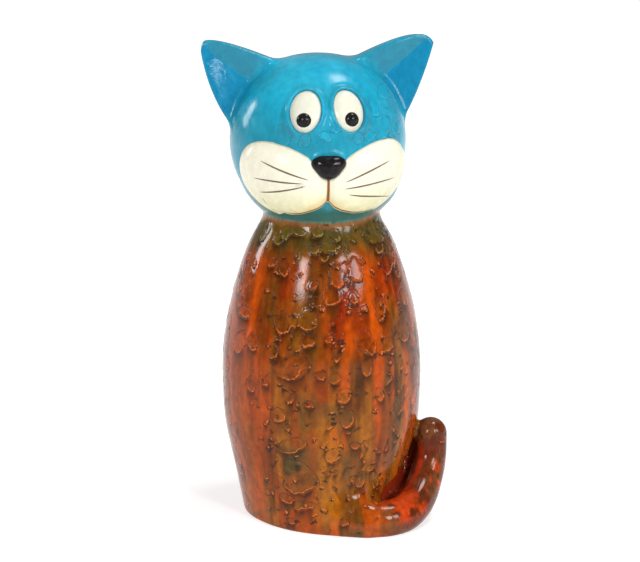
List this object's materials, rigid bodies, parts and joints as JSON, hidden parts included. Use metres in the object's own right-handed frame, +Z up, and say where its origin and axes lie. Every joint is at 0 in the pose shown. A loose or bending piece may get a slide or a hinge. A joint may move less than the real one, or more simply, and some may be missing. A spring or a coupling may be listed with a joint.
{
  "type": "cat figurine",
  "caption": "Sitting cat figurine with a bottle-shaped body, ball head, pricked ears, bulging muzzle and a tail curled up at one side.",
  "frame": {"origin": "centre of the round underside of the body, on the plane it stands on", "axes": "+Z up through the body to the head, face looking along -Y, standing end of the tail on the +X side"},
  "size_m": [0.1278, 0.1061, 0.2507],
  "materials": {
    "glazed_resin": "high gloss painted cast resin"
  },
  "bodies": {
    "root": {"cat_figurine": "glazed_resin"}
  },
  "joints": []
}
